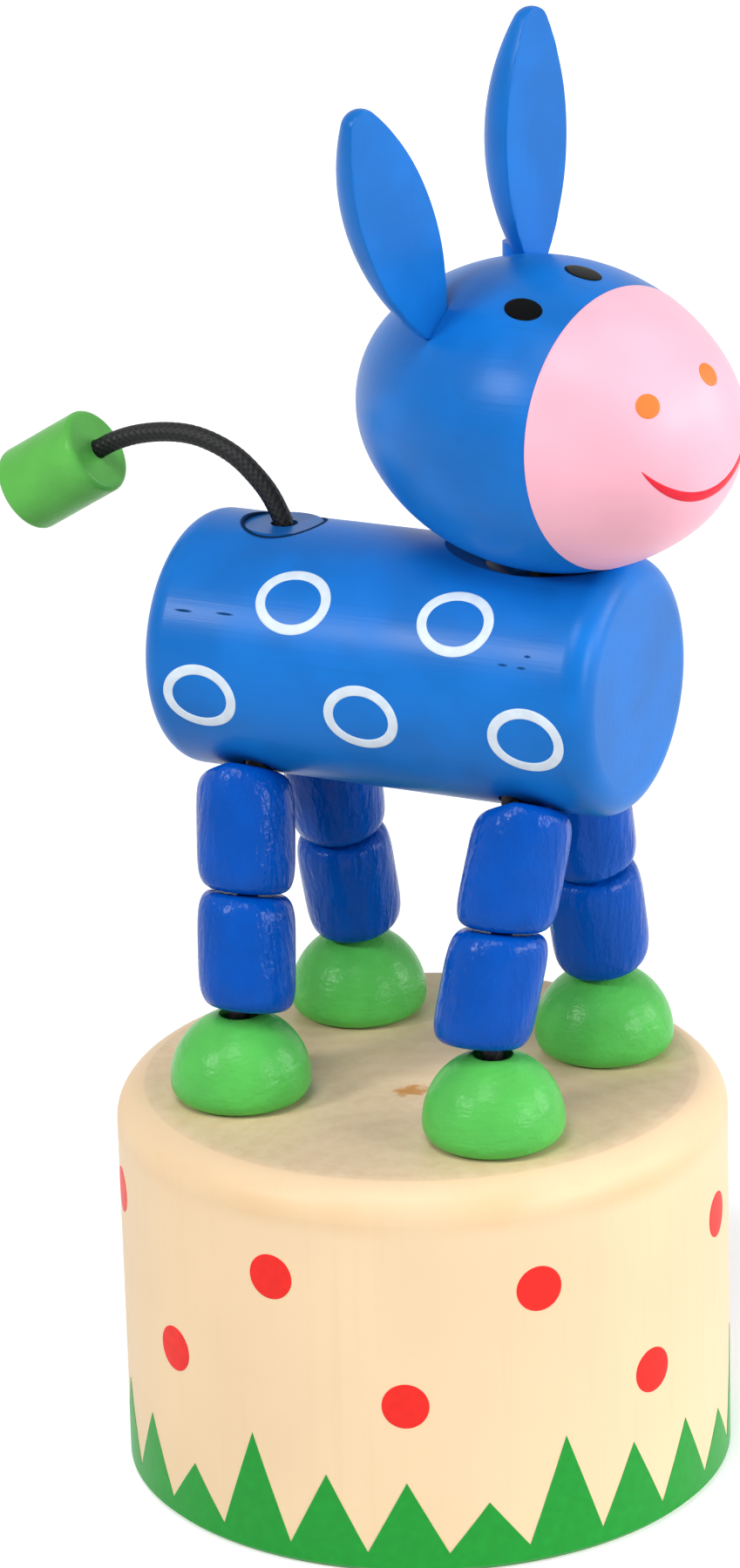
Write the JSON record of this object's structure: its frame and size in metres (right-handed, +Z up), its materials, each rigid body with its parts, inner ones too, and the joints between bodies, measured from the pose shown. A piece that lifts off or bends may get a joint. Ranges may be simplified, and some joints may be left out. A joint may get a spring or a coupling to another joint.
{
  "type": "push puppet",
  "caption": "Wooden push puppet: a blue donkey strung on cords over a hollow drum, whose sprung button underneath slackens the cords so that the legs give way.",
  "frame": {"origin": "middle of the ring on which the drum stands", "axes": "+X the way the body faces, +Y to its left, +Z up"},
  "size_m": [0.0657, 0.05, 0.121],
  "materials": {
    "natural_wood": "clear satin lacquer",
    "blue_paint": "satin blue lacquer on wood",
    "blue_gloss": "gloss blue lacquer on wood",
    "green_paint": "gloss green lacquer on wood",
    "black_cord": "braided nylon",
    "spring_steel": "drawn wire"
  },
  "bodies": {
    "base": {"base_drum": "natural_wood", "hoof_front_left": "green_paint", "hoof_front_right": "green_paint", "hoof_rear_left": "green_paint", "hoof_rear_right": "green_paint", "leg_cord_front_left": "black_cord", "leg_cord_front_right": "black_cord", "leg_cord_rear_left": "black_cord", "leg_cord_rear_right": "black_cord", "return_spring": "spring_steel"},
    "button": {"push_button": "natural_wood", "cord_knots": "black_cord"},
    "lower_front_left": {"lower_bead_front_left": "blue_gloss"},
    "upper_front_left": {"upper_bead_front_left": "blue_gloss"},
    "lower_front_right": {"lower_bead_front_right": "blue_gloss"},
    "upper_front_right": {"upper_bead_front_right": "blue_gloss"},
    "lower_rear_left": {"lower_bead_rear_left": "blue_gloss"},
    "upper_rear_left": {"upper_bead_rear_left": "blue_gloss"},
    "lower_rear_right": {"lower_bead_rear_right": "blue_gloss"},
    "upper_rear_right": {"upper_bead_rear_right": "blue_gloss"},
    "body": {"body_log": "blue_paint", "tail_plug": "blue_paint"},
    "neck": {"neck_cord": "black_cord"},
    "head": {"head": "blue_paint", "head_peg": "natural_wood", "ear_left": "blue_paint", "ear_right": "blue_paint"},
    "tail": {"tail_cord": "black_cord", "tail_bead": "green_paint"}
  },
  "joints": [
    {"name": "ankle_front_left", "type": "hinge", "parent": "base", "child": "lower_front_left", "pos_m": [0.0144, 0.01014, 0.04193], "axis": [0, 1, 0], "range_deg": [0, 55], "deforming": ["leg_cord_front_left"]},
    {"name": "knee_front_left", "type": "hinge", "parent": "lower_front_left", "child": "upper_front_left", "pos_m": [0.0144, 0.00855, 0.04854], "axis": [0, 1, 0], "range_deg": [0, 10]},
    {"name": "ankle_front_right", "type": "hinge", "parent": "base", "child": "lower_front_right", "pos_m": [0.0144, -0.01014, 0.04193], "axis": [0, 1, 0], "range_deg": [0, 55], "deforming": ["leg_cord_front_right"]},
    {"name": "knee_front_right", "type": "hinge", "parent": "lower_front_right", "child": "upper_front_right", "pos_m": [0.0144, -0.00855, 0.04854], "axis": [0, 1, 0], "range_deg": [0, 10]},
    {"name": "ankle_rear_left", "type": "hinge", "parent": "base", "child": "lower_rear_left", "pos_m": [-0.0083, 0.01014, 0.04193], "axis": [0, 1, 0], "range_deg": [0, 55], "deforming": ["leg_cord_rear_left"]},
    {"name": "knee_rear_left", "type": "hinge", "parent": "lower_rear_left", "child": "upper_rear_left", "pos_m": [-0.0083, 0.00855, 0.04854], "axis": [0, 1, 0], "range_deg": [0, 10]},
    {"name": "ankle_rear_right", "type": "hinge", "parent": "base", "child": "lower_rear_right", "pos_m": [-0.0083, -0.01014, 0.04193], "axis": [0, 1, 0], "range_deg": [0, 55], "deforming": ["leg_cord_rear_right"]},
    {"name": "knee_rear_right", "type": "hinge", "parent": "lower_rear_right", "child": "upper_rear_right", "pos_m": [-0.0083, -0.00855, 0.04854], "axis": [0, 1, 0], "range_deg": [0, 10]},
    {"name": "hip_rear_left", "type": "hinge", "parent": "lower_rear_left", "child": "body", "pos_m": [-0.01521, 0.00601, 0.06198], "axis": [0, 1, 0], "range_deg": [-55, 0]},
    {"name": "button_press", "type": "slide", "parent": "base", "child": "button", "axis": [0, 0, 1], "range_m": [0, 0.0065], "stiffness_N_per_m": 400, "springref_m": -0.004, "deforming": ["return_spring"]},
    {"name": "head_turn", "type": "hinge", "parent": "body", "child": "neck", "pos_m": [0.01165, 0, 0.07745], "axis": [0, 0, 1], "range_deg": [-44, 76]},
    {"name": "head_nod", "type": "hinge", "parent": "neck", "child": "head", "pos_m": [0.01261, -0.00028, 0.09886], "axis": [0.2756, 0.9613, 0], "range_deg": [0, 8], "deforming": ["neck_cord"]},
    {"name": "tail_swing", "type": "hinge", "parent": "body", "child": "tail", "pos_m": [-0.01105, 0, 0.07875], "axis": [0, 0, 1], "range_deg": [-40, 40], "stiffness_Nm_per_rad": 0.002}
  ],
  "couplings": [
    {"joint": "ankle_front_left", "follows": "button_press", "rad_per_m": 147.68},
    {"joint": "knee_front_left", "follows": "button_press", "rad_per_m": 26.851},
    {"joint": "ankle_front_right", "follows": "button_press", "rad_per_m": 147.68},
    {"joint": "knee_front_right", "follows": "button_press", "rad_per_m": 26.851},
    {"joint": "ankle_rear_left", "follows": "button_press", "rad_per_m": 147.68},
    {"joint": "knee_rear_left", "follows": "button_press", "rad_per_m": 26.851},
    {"joint": "ankle_rear_right", "follows": "button_press", "rad_per_m": 147.68},
    {"joint": "knee_rear_right", "follows": "button_press", "rad_per_m": 26.851},
    {"joint": "hip_rear_left", "follows": "button_press", "rad_per_m": -147.68},
    {"joint": "head_nod", "follows": "button_press", "rad_per_m": 21.481}
  ]
}
